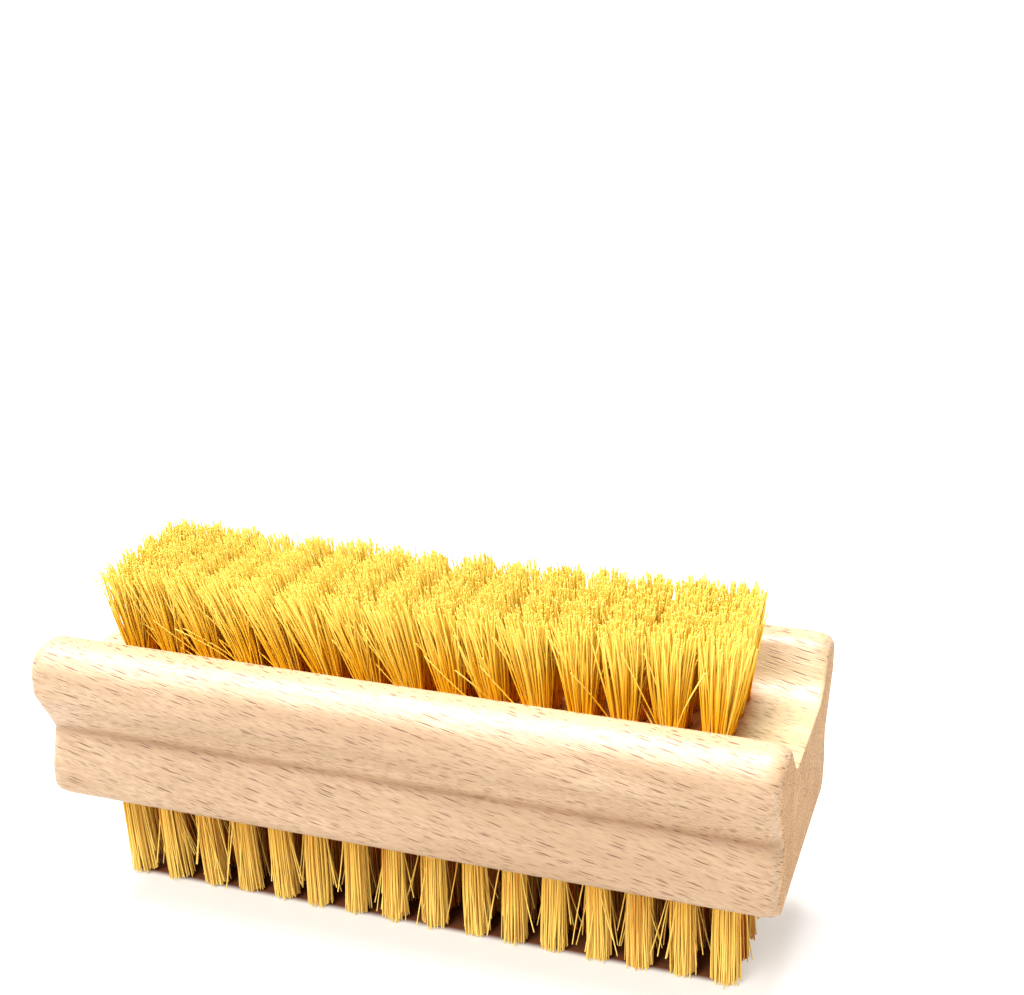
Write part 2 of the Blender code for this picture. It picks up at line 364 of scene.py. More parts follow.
# %% Beech: along the grain
FIGURE = {"lumps": (60.0, 5.0, 5.0), "low": 0.3, "high": 0.7, "detail": 2.0}
STREAKS = {"lumps": (3.2, 0.3, 0.3), "low": 0.36, "high": 0.66, "detail": 3.0}
FIGURE_SHARE, STREAK_SHARE, RING_SHARE = 0.8, 0.7, 0.22
PITH_DISTANCE, RING_WIDTH = 70.0, 2.6
LATE_WOOD = (0.55, 0.97)


def late_wood(tree, space):
    """How far the point is into the darker, denser end of its growth ring, 0 to 1."""
    from_pith = vector_calc(tree, "ADD", space, (0.0, PITH_DISTANCE, 0.0))
    flat = vector_calc(tree, "MULTIPLY", from_pith, (0.0, 1.0, 1.0))
    ring = calc(tree, "FRACT", over(tree, vector_calc(tree, "LENGTH", flat), RING_WIDTH))
    return ranged(tree, ring, *LATE_WOOD, 0.0, 1.0, smooth=True)


def long_grain_colour(tree, figure, streaks, late, rays):
    """A pale ground, toned by slow figure, fine streaks and rings, with dark rays over it."""
    colour = mix_colour(tree, times(tree, figure, FIGURE_SHARE), BEECH_PALE, BEECH_TONE)
    colour = mix_colour(tree, times(tree, streaks, STREAK_SHARE), colour, BEECH_TONE)
    colour = mix_colour(tree, times(tree, late, RING_SHARE), colour, BEECH_TONE)
    return mix_colour(tree, rays, colour, BEECH_RAY)


# %% Beech: across the grain
PORES = {"lumps": (4.0, 1.1, 0.14), "low": 0.42, "high": 0.7, "detail": 3.0}
# Painted light: the end faces made brighter and yellower than the wood along the grain
END_PAINTED_LIGHT = (1.38, 1.25, 1.01, 1)
END_RING_SHARE, END_PORE_SHARE = 0.4, 0.3
END_ON = (0.7, 0.98)


def faces_along_grain(tree):
    """1 where the saw cut straight across the grain, 0 where the surface runs with it."""
    facing = add_node(tree, "ShaderNodeNewGeometry").outputs["Normal"]
    end_on = size_of(tree, vector_calc(tree, "DOT_PRODUCT", facing, tuple(GRAIN_ALONG)))
    return ranged(tree, end_on, *END_ON, 0.0, 1.0, smooth=True)


def end_grain_and_painted_light(tree, colour, late, pores):
    """The same wood cut across, with clearer rings and dark pores, and painted brighter and yellower as
    painted light on the end faces.
    """
    # Painted light: brighter and yellower on the end faces
    colour = washed(tree, 1.0, colour, END_PAINTED_LIGHT)
    colour = mix_colour(tree, times(tree, late, END_RING_SHARE), colour, BEECH_TONE)
    return mix_colour(tree, times(tree, pores, END_PORE_SHARE), colour, BEECH_RAY)


# %% Beech: the material
# Painted bounce light: the fibres' orange, washed onto the wood among the tufts
FIBRE_BOUNCE_TINT = (0.98, 0.45, 0.09, 1)
# Painted shade along the bottom of each finger cove, under the lip's nose
COVE_SHADE_COLOUR = (0.68, 0.58, 0.50, 1)
# Painted light: the dish's walls and floor made paler and yellower
DISH_PAINTED_LIGHT = (1.06, 1.17, 1.10, 1)
COVE_SHADE_SHARE = 0.75
PLANED_ROUGHNESS, SAWN_ROUGHNESS, BOUNCE_ROUGHNESS = (0.42, 0.58), 0.9, 0.9
WOOD_SHINE = 0.8
STREAK_HEIGHT, PORE_DEPTH = 0.4, 1.5
BUMP_STRENGTH, BUMP_HEIGHT = 0.6, 0.06


def make_beech():
    material, tree, surface = new_material("beech_wood")
    space = grain_space(tree)
    streaks = pattern(tree, space, **STREAKS)
    pores = pattern(tree, space, **PORES)
    late = late_wood(tree, space)
    rays = all_rays(tree, space)
    end_grain = faces_along_grain(tree)
    long_grain = minus(tree, 1.0, end_grain)
    fibre_bounce = painted_fibre_bounce(tree)

    # Colour: the wood along the grain, three masks of painted light and shade, and the wood across the
    # grain
    colour = long_grain_colour(tree, pattern(tree, space, **FIGURE), streaks, late, rays)
    # Painted light: the dish paler and yellower
    colour = washed(tree, times(tree, painted_dish_light(tree), long_grain), colour, DISH_PAINTED_LIGHT)
    # Painted bounce light: the wood among the tufts turned orange
    colour = washed(tree, fibre_bounce, colour, FIBRE_BOUNCE_TINT)
    # Painted shade along the bottom of each cove
    painted_crease_shade = times(tree, painted_cove_shade(tree), times(tree, long_grain, COVE_SHADE_SHARE))
    colour = washed(tree, painted_crease_shade, colour, COVE_SHADE_COLOUR)
    colour = mix_colour(tree, end_grain, colour, end_grain_and_painted_light(tree, colour, late, pores))
    tree.links.new(colour, surface.inputs["Base Color"])

    # Shine: planed wood has some. Sawn wood has none, and neither has the wood under the painted bounce
    # light among the tufts
    planed = ranged(tree, streaks, 0.0, 1.0, *PLANED_ROUGHNESS)
    sawn = times(tree, end_grain, SAWN_ROUGHNESS)
    rough = in_turn(tree, "MAXIMUM", planed, sawn, times(tree, fibre_bounce, BOUNCE_ROUGHNESS))
    tree.links.new(rough, surface.inputs["Roughness"])
    surface.inputs["Specular IOR Level"].default_value = WOOD_SHINE

    # Bump: raised streaks, and sunken rays and pores
    height = minus(tree, times(tree, streaks, STREAK_HEIGHT), rays)
    height = minus(tree, height, times(tree, pores, end_grain, PORE_DEPTH))
    inputs = {"Strength": BUMP_STRENGTH, "Distance": BUMP_HEIGHT * MM, "Height": height}
    bump = add_node(tree, "ShaderNodeBump", inputs)
    tree.links.new(bump.outputs["Normal"], surface.inputs["Normal"])
    return material


beech = make_beech()
print("beech nodes:", len(beech.node_tree.nodes))

# %% [markdown]
# ## The block
#
# A joiner's moulding is one cross-section carried along a straight line, which is exactly what
# Curve to Mesh does. The section's corners come first, each with the radius that the cutter
# leaves there, and Fillet Curve rounds them. The sawn ends are sanded round, so the section
# shrinks a little over the last millimetres. Then the blind holes are cut out of both faces.

# %% Sizes of the block
LENGTH, THICKNESS = 95.8, 22.2
UNDERSIDE = 15.3
DISH_DEPTH = 5.9
DISH_FLOOR = UNDERSIDE + THICKNESS - DISH_DEPTH
HOLE_RADIUS, HOLE_DEPTH = 1.5, 6.9
COLUMN_PITCH, ROW_PITCH, ROWS_ACROSS = 5.5, 4.8, 4
SECTION = (
    # across, up from the underside, radius
    (10.2, THICKNESS - DISH_DEPTH, 5.0),
    (14.0, THICKNESS, 2.2),
    (20.5, THICKNESS, 3.6),
    (20.5, THICKNESS - 6.4, 2.6),
    (16.4, 9.4, 1.0),
    (17.7, 4.6, 5.0),
    (17.3, 0.0, 2.4),
)


def section_corners(name):
    """The section's corners as a closed loop of edges, each corner with its radius.

    Curve to Mesh hangs the section under its line, so the section's own up points down here.
    """
    half = list(SECTION)
    corners = half + [(-across, up, radius) for across, up, radius in reversed(half)]
    mesh = bpy.data.meshes.new(name)
    points = [(across * MM, -up * MM, 0) for across, up, radius in corners]
    mesh.from_pydata(points, [(i, (i + 1) % len(points)) for i in range(len(points))], [])
    radii = mesh.attributes.new("corner_radius", "FLOAT", "POINT")
    radii.data.foreach_set("value", [radius * MM for across, up, radius in corners])
    return mesh


# %% Helpers for Geometry Nodes
def new_tree(name, sizes):
    """A Geometry Nodes tree with named inputs: {name: (socket kind, default)}."""
    tree = bpy.data.node_groups.new(name, "GeometryNodeTree")
    tree.interface.new_socket("Geometry", in_out="INPUT", socket_type="NodeSocketGeometry")
    for title, (kind, default) in sizes.items():
        socket = tree.interface.new_socket(title, in_out="INPUT", socket_type=f"NodeSocket{kind}")
        if default is not None:
            socket.default_value = default
    tree.interface.new_socket("Geometry", in_out="OUTPUT", socket_type="NodeSocketGeometry")
    return tree, tree.nodes.new("NodeGroupInput").outputs


def shape(tree, kind, inputs=None, **settings):
    """One step of modelling, such as CurveToMesh: adds the node and gives what comes out of it."""
    return add_node(tree, f"GeometryNode{kind}", inputs, **settings).outputs[0]


def stored(tree, name, kind="FLOAT"):
    """What was stored on the geometry under this name."""
    node = add_node(tree, "GeometryNodeInputNamedAttribute", {"Name": name}, data_type=kind)
    return in_use(node.outputs)["Attribute"]


def finish_tree(tree, geometry, material):
    """Turns copies into real geometry, gives it its material and hands it out of the tree."""
    geometry = shape(tree, "RealizeInstances", {"Geometry": geometry})
    geometry = shape(tree, "SetMaterial", {"Geometry": geometry, "Material": material})
    add_node(tree, "NodeGroupOutput", {0: geometry})
    return tree


def grow(name, tree, values, source=None):
    """Runs a tree on a mesh and returns the result as a plain mesh object, with no modifier left."""
    mesh = source or bpy.data.meshes.new(name)
    obj = bpy.data.objects.new(name, mesh)
    bpy.context.scene.collection.objects.link(obj)
    modifier = obj.modifiers.new(tree.name, "NODES")
    modifier.node_group = tree
    for item in tree.interface.items_tree:
        if item.in_out == "INPUT" and item.name in values:
            modifier[item.identifier] = values[item.name]
    graph = bpy.context.evaluated_depsgraph_get()
    plain = bpy.data.meshes.new_from_object(obj.evaluated_get(graph))
    plain.name = name
    obj.modifiers.clear()
    obj.data = plain
    return obj


# %% The moulding tree
CORNER_STEPS = 7
# How far out the lips begin and how far out they are full, and the share of Drop between them
LIPS_FROM, LIPS_FULL, DISH_EASING = 11.0, 15.5, 0.15
# The height of the foot, and the share of Drop at its bottom
FOOT_HEIGHT, FOOT_EASING = 3.0, 0.6


def moulding_tree():
    """The section along a line. Over its last stretch, "Run", each end is drawn in by up to "Drop"."""
    sizes = {
        "Length": ("Float", 100 * MM),
        "Run": ("Float", 2 * MM),
        "Drop": ("Float", 1 * MM),
        "End steps": ("Int", 6),
        "Material": ("Material", None),
    }
    tree, given = new_tree("moulding", sizes)
    loop = shape(tree, "MeshToCurve", {"Mesh": given["Geometry"]})
    corners = {"Curve": loop, "Radius": stored(tree, "corner_radius")}
    steps = {"Count": CORNER_STEPS, "Limit Radius": True}
    section = shape(tree, "FilletCurve", corners | steps, mode="POLY")

    # The line's points crowd together towards both ends, like the steps of a quarter circle
    last = plus(tree, times(tree, given["End steps"], 2.0), 1.0)
    line = shape(tree, "CurvePrimitiveLine", {"Start": (0, 0, 0), "End": (1, 0, 0)})
    line = shape(tree, "ResampleCurve", {"Curve": line, "Count": plus(tree, last, 1.0)})
    index = tree.nodes.new("GeometryNodeInputIndex").outputs[0]
    from_end = calc(tree, "MINIMUM", index, minus(tree, last, index))
    angle = times(tree, over(tree, from_end, given["End steps"]), math.pi / 2)
    inset = times(tree, given["Run"], minus(tree, 1.0, calc(tree, "COSINE", angle)))
    side = calc(tree, "SIGN", minus(tree, index, times(tree, last, 0.5)))
    half = times(tree, given["Length"], 0.5)
    place = joined(tree, times(tree, side, minus(tree, half, inset)), 0.0, 0.0)
    line = shape(tree, "SetPosition", {"Geometry": line, "Position": place})
    bar = shape(tree, "CurveToMesh", {"Curve": line, "Profile Curve": section, "Fill Caps": True})

    # Each ring of the bar is drawn in along its own normal, by a quarter of an ellipse
    normal = tree.nodes.new("GeometryNodeInputNormal").outputs[0]
    outward = vector_calc(tree, "MULTIPLY", normal, (0.0, 1.0, 1.0))
    outward = vector_calc(tree, "NORMALIZE", outward)
    along, across, up = parts_of(tree, tree.nodes.new("GeometryNodeInputPosition").outputs[0])
    gap = calc(tree, "MINIMUM", minus(tree, half, size_of(tree, along)), given["Run"])
    rest = minus(tree, 1.0, over(tree, gap, given["Run"]))
    bend = calc(tree, "SQRT", minus(tree, 1.0, times(tree, rest, rest)))
    bend = minus(tree, 1.0, bend)

    # The lips are sanded most, the foot less, and the sandpaper hardly reaches into the dish
    sideways = size_of(tree, across)
    on_lips = ranged(tree, sideways, LIPS_FROM * MM, LIPS_FULL * MM, DISH_EASING, 1.0, smooth=True)
    on_foot = ranged(tree, up, 0.0, FOOT_HEIGHT * MM, FOOT_EASING, 1.0)
    drop = times(tree, given["Drop"], times(tree, on_lips, on_foot))
    drawn = scaled(tree, outward, times(tree, drop, bend, -1.0))
    bar = shape(tree, "SetPosition", {"Geometry": bar, "Offset": drawn})
    return finish_tree(tree, bar, given["Material"])


# %% [markdown]
# The bar comes out of the tree along X. A second tree cuts the holes: one cylinder is copied
# onto every point of two grids, and Mesh Boolean takes them all out of the bar at once.

# %% Tuft places
UPPER_MARGIN, UPPER_COUNT = 8.7, 15
UNDER_MARGIN, UNDER_COUNT = 5.4, 16
UPPER_COLUMNS = [UPPER_MARGIN - LENGTH / 2 + i * COLUMN_PITCH for i in range(UPPER_COUNT)]
UNDER_COLUMNS = [UNDER_MARGIN - LENGTH / 2 + i * COLUMN_PITCH for i in range(UNDER_COUNT)]
print("rows of tufts:", len(UPPER_COLUMNS), "above and", len(UNDER_COLUMNS), "below")


def hole_points(name):
    """One vertex in the mouth of each blind hole, where the middle of its cylinder goes."""
    rows = [(i - (ROWS_ACROSS - 1) / 2) * ROW_PITCH for i in range(ROWS_ACROSS)]
    above = [(x, y, DISH_FLOOR) for x in UPPER_COLUMNS for y in rows]
    below = [(x, y, UNDERSIDE) for x in UNDER_COLUMNS for y in rows]
    mesh = bpy.data.meshes.new(name)
    mesh.from_pydata([tuple(v * MM for v in point) for point in above + below], [], [])
    return mesh


# %% The drilling tree
DRILL_SIDES = 20


def drilling_tree():
    """Cylinders on the incoming points, as long as two hole depths, cut out of the block."""
    sizes = {
        "Block": ("Object", None),
        "Hole radius": ("Float", 1.5 * MM),
        "Hole depth": ("Float", 7 * MM),
        "Material": ("Material", None),
    }
    tree, given = new_tree("drilled block", sizes)
    depth = times(tree, given["Hole depth"], 2.0)
    cylinder = {"Vertices": DRILL_SIDES, "Radius": given["Hole radius"], "Depth": depth}
    drill = shape(tree, "MeshCylinder", cylinder)
    points = shape(tree, "MeshToPoints", {"Mesh": given["Geometry"]})
    drills = shape(tree, "InstanceOnPoints", {"Points": points, "Instance": drill})
    drills = shape(tree, "RealizeInstances", {"Geometry": drills})
    bar = add_node(tree, "GeometryNodeObjectInfo", {"Object": given["Block"]}).outputs["Geometry"]
    both = {"Mesh 1": bar, "Mesh 2": drills}
    cut = shape(tree, "MeshBoolean", both, operation="DIFFERENCE", solver="EXACT")
    return finish_tree(tree, cut, given["Material"])


# %% Make the block
EASING_RUN, EASING_DROP = 2.4, 1.3
SHARP_ANGLE = 40


def smooth_under(mesh, degrees):
    mesh.shade_smooth()
    mesh.set_sharp_from_angle(angle=math.radians(degrees))


moulding = {
    "Length": LENGTH * MM,
    "Run": EASING_RUN * MM,
    "Drop": EASING_DROP * MM,
    "Material": beech,
}
bar = grow("bar", moulding_tree(), moulding, section_corners("section"))
print("moulding:", len(bar.data.polygons), "faces", [round(v / MM, 1) for v in bar.dimensions])
bar.data.transform(Matrix.Translation((0, 0, UNDERSIDE * MM)))

drilled = {
    "Block": bar,
    "Hole radius": HOLE_RADIUS * MM,
    "Hole depth": HOLE_DEPTH * MM,
    "Material": beech,
}
block = grow("beech_block", drilling_tree(), drilled, hole_points("holes"))
bpy.data.objects.remove(bar)
smooth_under(block.data, SHARP_ANGLE)
print("block:", len(block.data.polygons), "faces", [round(v / MM, 1) for v in block.dimensions])
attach(block, "root")
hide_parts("block")

# %% [markdown]
# ## Fibre
#
# The tufts are a stiff plant fibre, orange at the root and straw at the tip: partly the fibre's
# own colour, and partly painted shade at the root, where the tufts shade one another, and
# painted light at the tip. Every fibre carries two numbers of its own: "rise", 0 at its root and
# 1 at its tip, and "tone", which differs from fibre to fibre and is held low in the inner tufts
# as painted shade. The material reads only these two, so one small picture can hold all of its
# colours when the model is exported.

# %% The fibre material
# Where up the fibre, from 0 to 1, its colour goes from root to middle and from middle to tip
LOWER_HALF, UPPER_HALF = (0.0, 0.5), (0.45, 0.95)
PALE_TONES, PALE_SHARE = (0.55, 1.0), 0.6
FIBRE_SHINE = 0.12


def attribute(tree, name):
    return add_node(tree, "ShaderNodeAttribute", attribute_name=name).outputs["Fac"]


def make_fibre(name, root, middle, tip, dark, share, dark_to, rough):
    """root, middle and tip are the colours up the fibre: partly its own colour, partly painted shade at
    the root and painted light at the tip.

    Fibres whose tone is under dark_to turn towards dark, the lowest of them by share. Tone differs at
    random, but the inner tufts are held to the lower tones, and there the dark is painted shade.
    """
    material, tree, surface = new_material(name)
    rise, tone = attribute(tree, "rise"), attribute(tree, "tone")
    lower = mix_colour(tree, ranged(tree, rise, *LOWER_HALF, 0.0, 1.0, smooth=True), root, middle)
    colour = mix_colour(tree, ranged(tree, rise, *UPPER_HALF, 0.0, 1.0, smooth=True), lower, tip)
    colour = mix_colour(tree, ranged(tree, tone, 0.0, dark_to, share, 0.0), colour, dark)
    colour = mix_colour(tree, ranged(tree, tone, *PALE_TONES, 0.0, PALE_SHARE), colour, tip)
    tree.links.new(colour, surface.inputs["Base Color"])
    surface.inputs["Roughness"].default_value = rough
    surface.inputs["Specular IOR Level"].default_value = FIBRE_SHINE
    return material


# %% The upper and the under fibre
upper_fibre = make_fibre(
    "upper_fibre",
    root=(0.98, 0.29, 0.004, 1),
    middle=(0.96, 0.57, 0.025, 1),
    tip=(0.91, 0.72, 0.18, 1),
    dark=(0.93, 0.50, 0.035, 1),
    share=0.3,
    dark_to=0.5,
    rough=0.5,
)
# The under fibre's dark is a deep red-brown: painted shade, taken mostly by the inner tufts
under_fibre = make_fibre(
    "under_fibre",
    root=(0.87, 0.48, 0.155, 1),
    middle=(0.91, 0.585, 0.13, 1),
    tip=(0.93, 0.675, 0.19, 1),
    dark=(0.50, 0.09, 0.002, 1),
    share=0.95,
    dark_to=0.42,
    rough=0.6,
)
print("fibres:", upper_fibre.name, "and", under_fibre.name)

# %% [markdown]
# ## Tufts
#
# A tuft is a bundle of fibres folded in half and wedged into its hole, so it leaves the hole as
# a tight round bunch and fans out above it. The tree below makes one crosswise row of tufts:
# points fill four round holes evenly, each point gets a copy of a short straight curve, and each
# curve is then bent by a rule. It stays straight inside the hole and leans further the higher it
# rises. A few strays lean much further. Thin round tubes are drawn along the curves at the end.

# %% Sizes of a row of tufts
TUFT_SIZES = {
    "Fibres": ("Int", 116),
    "Tufts": ("Int", ROWS_ACROSS),
    "Pitch": ("Float", ROW_PITCH * MM),
    "Hole radius": ("Float", HOLE_RADIUS * MM),
    "Depth": ("Float", 6.6 * MM),
    "Length": ("Float", 15 * MM),
    "Spread": ("Float", 1.6 * MM),
    "Lean": ("Float", 0.0),
    "Fan": ("Float", 0.4 * MM),
    "Wander": ("Float", 0.8 * MM),
    "Bow": ("Float", 0.6 * MM),
    "Unevenness": ("Float", 1.3 * MM),
    "Dome": ("Float", 0.6 * MM),
    "Strays": ("Float", 0.07),
    "Stray reach": ("Float", 4.8 * MM),
    "Thickness": ("Float", 0.25 * MM),
    "Painted inner shade": ("Float", 0.2),
    "Outer from": ("Float", 0.0),
    "Seed": ("Int", 0),
    "Material": ("Material", None),
}


def random_in(tree, low, high, item, seed, kind):
    """A random number or vector for each item, the same in every run."""
    node = tree.nodes.new("FunctionNodeRandomValue")
    node.data_type = kind
    fill(tree, in_use(node.inputs), {"Min": low, "Max": high, "ID": item, "Seed": seed})
    return in_use(node.outputs)["Value"]


def store(tree, geometry, name, value, kind="FLOAT", domain="POINT"):
    """Stores a value on the geometry under a name, for stored() or a material to read."""
    node = tree.nodes.new("GeometryNodeStoreNamedAttribute")
    node.data_type = kind
    node.domain = domain
    fill(tree, in_use(node.inputs), {"Geometry": geometry, "Name": name, "Value": value})
    return node.outputs[0]


# %% The tuft tree
GOLDEN_ANGLE = math.pi * (3 - math.sqrt(5))
SEEDS_PER_ROW = 50
# In radians: how far each tuft's spiral is turned from the last, and how far a fibre may be off
TUFT_TURN, ANGLE_SCATTER = 1.3, 0.25
# How many thicknesses the outermost fibres stay inside the hole's wall
ROOM_FOR_FIBRE = 0.6
# Shares of Wander, Dome and Length
TUFT_WANDER, DOME_SCATTER, STRAY_SHORTNESS = 0.7, 0.6, 0.25
EITHER_WAY, MOSTLY_ALONG = (1, 1, 0), (1, 0.7, 0)
# A fibre's parts inside the hole and above it, and how late it bends: 1 would lean it straight
STEPS_INSIDE, STEPS_ABOVE = 1, 6
SWAY_POWER = 1.25
# Shares of Thickness
ROOT_RADIUS, TIP_RADIUS = 0.5, 0.42
TUBE_SIDES = 4
# The picture of the fibres' colours has one column for each tone, and a margin round each
TONES = 16
LAST_TONE_EDGE = TONES - 0.001
COLUMN_MARGINS, PICTURE_MARGINS = (0.1, 0.9), (0.01, 0.99)


def tuft_tree():
    tree, given = new_tree("row of tufts", TUFT_SIZES)
    seeds = iter(range(1, SEEDS_PER_ROW))

    def draw(low, high, item, kind="FLOAT"):
        seed = plus(tree, times(tree, given["Seed"], SEEDS_PER_ROW), next(seeds))
        return random_in(tree, low, high, item, seed, kind)

    def push(item, reach, most=EITHER_WAY):
        """A random sideways move of each item, either way, at most reach times most."""
        least = tuple(-part for part in most)
        return scaled(tree, draw(least, most, item, "FLOAT_VECTOR"), reach)

    # One point for each fibre, placed in its hole on a sunflower spiral. The added halves keep
    # a fibre out of the next tuft when its number is divided, and off the spiral's very middle
    count = times(tree, given["Fibres"], given["Tufts"])
    points = shape(tree, "Points", {"Count": count})
    index = tree.nodes.new("GeometryNodeInputIndex").outputs[0]
    tuft = calc(tree, "FLOOR", over(tree, plus(tree, index, 0.5), given["Fibres"]))
    place = minus(tree, index, times(tree, tuft, given["Fibres"]))
    share = calc(tree, "SQRT", over(tree, plus(tree, place, 0.5), given["Fibres"]))
    angle = plus(tree, times(tree, place, GOLDEN_ANGLE), times(tree, tuft, TUFT_TURN))
    angle = plus(tree, angle, draw(-ANGLE_SCATTER, ANGLE_SCATTER, index))
    out = joined(tree, calc(tree, "COSINE", angle), calc(tree, "SINE", angle), 0.0)
    room = minus(tree, given["Hole radius"], times(tree, given["Thickness"], ROOM_FOR_FIBRE))
    middle = times(tree, minus(tree, given["Tufts"], 1.0), 0.5)
    across = minus(tree, tuft, middle)
    hole = joined(tree, 0.0, times(tree, across, given["Pitch"]), 0.0)
    root = vector_sum(tree, hole, scaled(tree, out, times(tree, room, share)))

    # Where the tip ends up, seen from the root: the bunch spreads, the tuft leans, and fibres
    # wander. The pushes and draws stay in this order, because each takes the next seed
    spread = scaled(tree, out, times(tree, share, given["Spread"]))
    fan = times(tree, over(tree, across, middle), given["Fan"])
    own_lean = push(tuft, times(tree, given["Wander"], TUFT_WANDER))
    wander = push(index, given["Wander"])
    stray = calc(tree, "LESS_THAN", draw(0.0, 1.0, index), given["Strays"])
    astray = push(index, times(tree, stray, given["Stray reach"]), MOSTLY_ALONG)
    bow = push(index, given["Bow"])
    leaning = joined(tree, given["Lean"], fan, 0.0)
    tip = vector_sum(tree, spread, leaning, vector_sum(tree, own_lean, wander), astray)

    # How high it reaches: fibres differ a little, a tuft is domed, and strays are shorter
    short = times(tree, draw(0.0, 1.0, index), given["Unevenness"])
    dome = plus(tree, times(tree, share, share), times(tree, draw(0.0, 1.0, tuft), DOME_SCATTER))
    short = plus(tree, short, times(tree, dome, given["Dome"]))
    stray_short = times(tree, draw(0.0, STRAY_SHORTNESS, index), given["Length"])
    short = plus(tree, short, times(tree, stray, stray_short))
    along_fibre = minus(tree, given["Length"], short)
    sideways = vector_calc(tree, "DOT_PRODUCT", tip, tip)
    height = calc(tree, "SQRT", minus(tree, times(tree, along_fibre, along_fibre), sideways))

    # Its tone, as a column of the picture: the inner tufts lose the palest, which paints shade among
    # them, and the outer the darkest
    inner = calc(tree, "LESS_THAN", size_of(tree, across), minus(tree, middle, 0.5))
    most = minus(tree, 1.0, times(tree, inner, given["Painted inner shade"]))
    most = times(tree, most, LAST_TONE_EDGE)
    least = times(tree, minus(tree, 1.0, inner), given["Outer from"])
    column = times(tree, draw(0.0, 1.0, index), minus(tree, most, least))
    column = calc(tree, "FLOOR", plus(tree, least, column))

    # A straight curve of seven parts on each point, which carries its own numbers along
    points = store(tree, points, "root", root, "FLOAT_VECTOR")
    points = store(tree, points, "tip", tip, "FLOAT_VECTOR")
    points = store(tree, points, "bow", bow, "FLOAT_VECTOR")
    points = store(tree, points, "height", height)
    points = store(tree, points, "column", column)
    line = shape(tree, "CurvePrimitiveLine", {"Start": (0, 0, 0), "End": (0, 0, 1)})
    line = shape(tree, "ResampleCurve", {"Curve": line, "Count": STEPS_INSIDE + STEPS_ABOVE + 1})
    fibres = shape(tree, "InstanceOnPoints", {"Points": points, "Instance": line})
    fibres = shape(tree, "RealizeInstances", {"Geometry": fibres})

    # Bend each curve: the first part is inside the hole, the other six rise above it
    along = tree.nodes.new("GeometryNodeSplineParameter").outputs["Factor"]
    steps = times(tree, along, STEPS_INSIDE + STEPS_ABOVE)
    rise = over(tree, minus(tree, steps, STEPS_INSIDE), STEPS_ABOVE)
    above = calc(tree, "MAXIMUM", rise, 0.0)
    inside = times(tree, calc(tree, "MINIMUM", rise, 0.0), STEPS_ABOVE / STEPS_INSIDE)
    level = times(tree, above, stored(tree, "height"))
    level = plus(tree, level, times(tree, inside, given["Depth"]))
    sway = scaled(tree, stored(tree, "tip", "FLOAT_VECTOR"), calc(tree, "POWER", above, SWAY_POWER))
    arch = calc(tree, "SINE", times(tree, above, math.pi))
    arched = scaled(tree, stored(tree, "bow", "FLOAT_VECTOR"), arch)
    from_root = stored(tree, "root", "FLOAT_VECTOR")
    bent = vector_sum(tree, sway, arched, from_root, joined(tree, 0.0, 0.0, level))
    fibres = shape(tree, "SetPosition", {"Geometry": fibres, "Position": bent})
    fibres = store(tree, fibres, "rise", above)
    fibres = store(tree, fibres, "tone", over(tree, stored(tree, "column"), TONES - 1))
    thinner = ranged(tree, above, 0.0, 1.0, ROOT_RADIUS, TIP_RADIUS)
    radius = times(tree, given["Thickness"], thinner)
    fibres = shape(tree, "SetCurveRadius", {"Curve": fibres, "Radius": radius})

    # Draw a thin tube along each curve, and lay its faces out in the picture by tone and rise
    ring = shape(tree, "CurvePrimitiveCircle", {"Resolution": TUBE_SIDES, "Radius": 1.0})
    ring = store(tree, ring, "around", tree.nodes.new("GeometryNodeSplineParameter").outputs["Factor"])
    curves = {"Curve": fibres, "Profile Curve": ring}
    filled = {"Scale": stored(tree, "radius"), "Fill Caps": True}
    tubes = shape(tree, "CurveToMesh", curves | filled)
    around = ranged(tree, stored(tree, "around"), 0.0, 1.0, *COLUMN_MARGINS)
    picture_x = over(tree, plus(tree, stored(tree, "column"), around), TONES)
    picture_y = ranged(tree, stored(tree, "rise"), 0.0, 1.0, *PICTURE_MARGINS)
    picture = joined(tree, picture_x, picture_y, 0.0)
    tubes = store(tree, tubes, "OFBake", picture, "FLOAT2", "CORNER")
    tubes = shape(tree, "SetShadeSmooth", {"Geometry": tubes})
    return finish_tree(tree, tubes, given["Material"])


tufts = tuft_tree()
print("tuft tree:", len(tufts.nodes), "nodes")

# %% [markdown]
# ## The two fields of bristles
#
# In the photo the upper tufts lean to the left over most of the brush and stand upright at its
# right end, and the outer rows fan out. The brush's weight has pushed the under tufts a little
# sideways. A short table says how far the tips lean at some places along the block, and each row
# takes what lies between. Every row of tufts replaces the node of the same number.

# %% Lean and length along the block
UPPER_LEAN = (
    # place along the block, how far the tips stand off
    (-39.0, -1.7),
    (-33.5, -2.9),
    (-28.0, -3.8),
    (-20.0, -4.4),
    (-10.0, -3.8),
    (5.0, -2.8),
    (15.0, -1.8),
    (25.0, -0.9),
    (38.0, 0.2),
)
UPPER_LENGTH = ((-39.0, 14.7), (-33.0, 15.2), (-5.0, 15.2), (15.0, 15.1), (38.0, 15.8))
UNDER_LEAN = ((-43.0, 1.6), (-35.0, 1.8), (-20.0, 0.8), (0.0, 0.4), (40.0, 0.5))
UNDER_LENGTH = ((0.0, UNDERSIDE),)


def between(table, x):
    """The value at x on the broken line through the table's points."""
    if x <= table[0][0]:
        return table[0][1]
    for (x0, y0), (x1, y1) in zip(table, table[1:]):
        if x <= x1:
            return y0 + (y1 - y0) * (x - x0) / (x1 - x0)
    return table[-1][1]


# %% Make a row
SPARE_ATTRIBUTES = ("root", "tip", "bow", "height", "column", "around", "radius")


